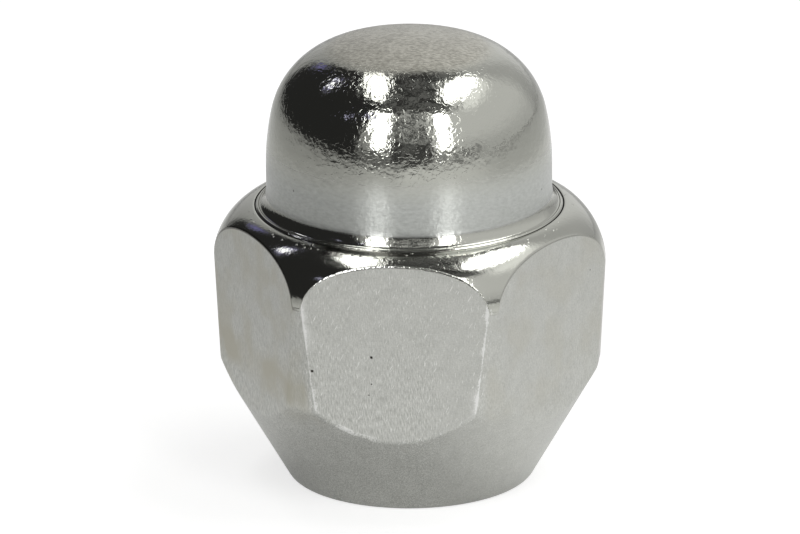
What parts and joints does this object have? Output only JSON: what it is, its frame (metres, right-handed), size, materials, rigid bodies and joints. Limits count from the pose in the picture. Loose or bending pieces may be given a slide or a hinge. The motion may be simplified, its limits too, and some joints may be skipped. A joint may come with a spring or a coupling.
{
  "type": "lug nut",
  "caption": "Closed-end hex lug nut with a 60 degree cone seat, a threaded hole and a domed cap, chrome plated; it clamps a road wheel to a wheel stud.",
  "frame": {"origin": "centre of the flat end below the seat cone", "axes": "+Z along the thread axis, from the seat towards the dome; two flats face -Y and +Y, and two hex corners lie on X"},
  "size_m": [0.0238, 0.021, 0.0276],
  "materials": {
    "plated_body": "bright chrome plate on steel, flats finely scratched and lightly pitted",
    "plated_cap": "bright chrome plate on pressed steel, slightly rippled"
  },
  "bodies": {
    "root": {"nut_body": "plated_body", "dome_cap": "plated_cap"}
  },
  "joints": []
}
